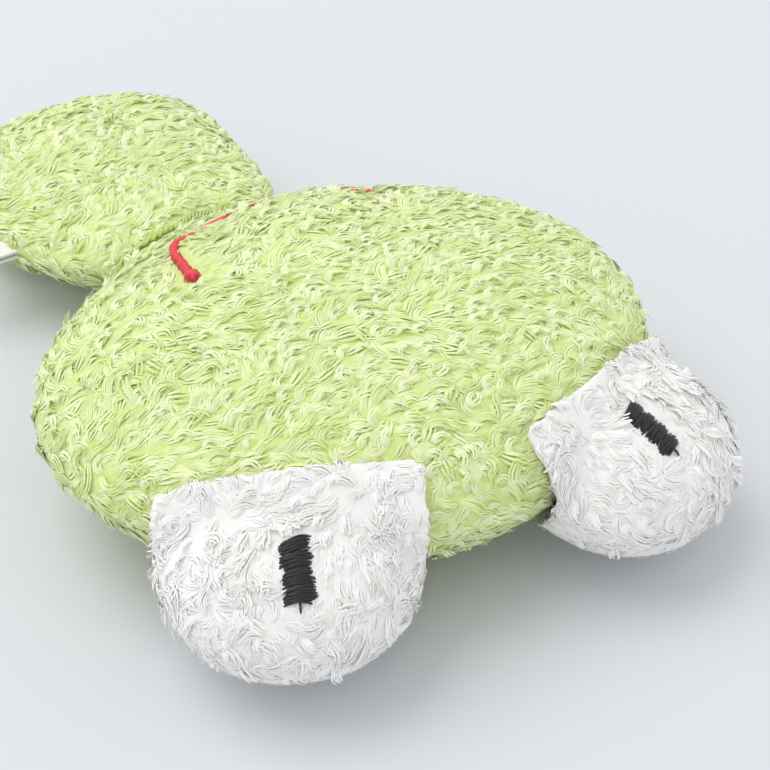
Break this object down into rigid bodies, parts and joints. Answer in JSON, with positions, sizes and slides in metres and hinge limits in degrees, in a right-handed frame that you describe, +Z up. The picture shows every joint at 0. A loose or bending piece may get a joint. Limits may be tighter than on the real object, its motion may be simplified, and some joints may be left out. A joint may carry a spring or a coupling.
{
  "type": "frog rattle",
  "caption": "Plush frog hand rattle lying on its back: padded head with a bead capsule inside, two hinged eye pads, gathered neck and stuffed body.",
  "frame": {"origin": "on the table, at the middle of the small flat that the back of the head rests on", "axes": "+Z up, out of the face; +Y from the eyes to the body's end; +X to the frog's own right as it lies on its back, seen from the eyes' end"},
  "size_m": [0.1092, 0.1681, 0.0376],
  "materials": {
    "green_plush": "matte",
    "white_plush": "matte",
    "filling": "matte",
    "black_thread": "satin",
    "red_thread": "satin",
    "green_thread": "satin",
    "white_tape": "satin",
    "capsule_plastic": "satin",
    "bead_plastic": "gloss"
  },
  "bodies": {
    "torso": {"body_front_panel": "green_plush", "body_back_panel": "green_plush", "body_filling": "filling", "side_label": "white_tape", "closing_thread": "green_thread"},
    "neck": {"neck_sleeve": "green_plush", "neck_filling": "filling", "neck_gather_thread": "green_thread"},
    "head": {"head_front_panel": "green_plush", "head_back_panel": "green_plush", "head_front_filling": "filling", "head_back_filling": "filling", "mouth_embroidery": "red_thread", "rattle_capsule_upper": "capsule_plastic", "rattle_capsule_lower": "capsule_plastic"},
    "eye_left": {"eye_left_front_panel": "white_plush", "eye_left_back_panel": "white_plush", "eye_left_filling": "filling", "pupil_left": "black_thread"},
    "eye_right": {"eye_right_front_panel": "white_plush", "eye_right_back_panel": "white_plush", "eye_right_filling": "filling", "pupil_right": "black_thread"},
    "bead_1": {"rattle_bead_1": "bead_plastic"},
    "bead_2": {"rattle_bead_2": "bead_plastic"},
    "bead_3": {"rattle_bead_3": "bead_plastic"},
    "bead_4": {"rattle_bead_4": "bead_plastic"},
    "bead_5": {"rattle_bead_5": "bead_plastic"}
  },
  "joints": [
    {"name": "neck_wag", "type": "hinge", "parent": "torso", "child": "neck", "pos_m": [-0.008, 0.041, 0.017], "axis": [0, 0, 1], "range_deg": [-13, 13], "stiffness_Nm_per_rad": 0.06, "deforming": ["neck_sleeve", "neck_filling"]},
    {"name": "neck_nod", "type": "hinge", "parent": "neck", "child": "head", "pos_m": [-0.008, 0.041, 0.017], "axis": [0.9903, 0.1392, 0], "range_deg": [-25, 25], "stiffness_Nm_per_rad": 0.06, "deforming": ["neck_sleeve", "neck_filling"]},
    {"name": "eye_left_lift", "type": "hinge", "parent": "head", "child": "eye_left", "pos_m": [-0.026, -0.03601, 0.02974], "axis": [0.9336, -0.3584, 0], "range_deg": [-40, 0], "stiffness_Nm_per_rad": 0.01},
    {"name": "eye_right_lift", "type": "hinge", "parent": "head", "child": "eye_right", "pos_m": [0.02801, -0.03712, 0.02866], "axis": [0.9272, 0.3746, 0], "range_deg": [-40, 0], "stiffness_Nm_per_rad": 0.01},
    {"name": "bead_1_roll", "type": "slide", "parent": "head", "child": "bead_1", "axis": [1, 0, 0], "range_m": [-0.00509, 0.00274]},
    {"name": "bead_2_roll", "type": "slide", "parent": "head", "child": "bead_2", "axis": [1, 0, 0], "range_m": [-0.00488, 0.01287]},
    {"name": "bead_3_roll", "type": "slide", "parent": "head", "child": "bead_3", "axis": [1, 0, 0], "range_m": [-0.013, 0.007]},
    {"name": "bead_4_roll", "type": "slide", "parent": "head", "child": "bead_4", "axis": [1, 0, 0], "range_m": [-0.0142, 0.00355]},
    {"name": "bead_5_roll", "type": "slide", "parent": "head", "child": "bead_5", "axis": [1, 0, 0], "range_m": [-0.00195, 0.00587]}
  ]
}
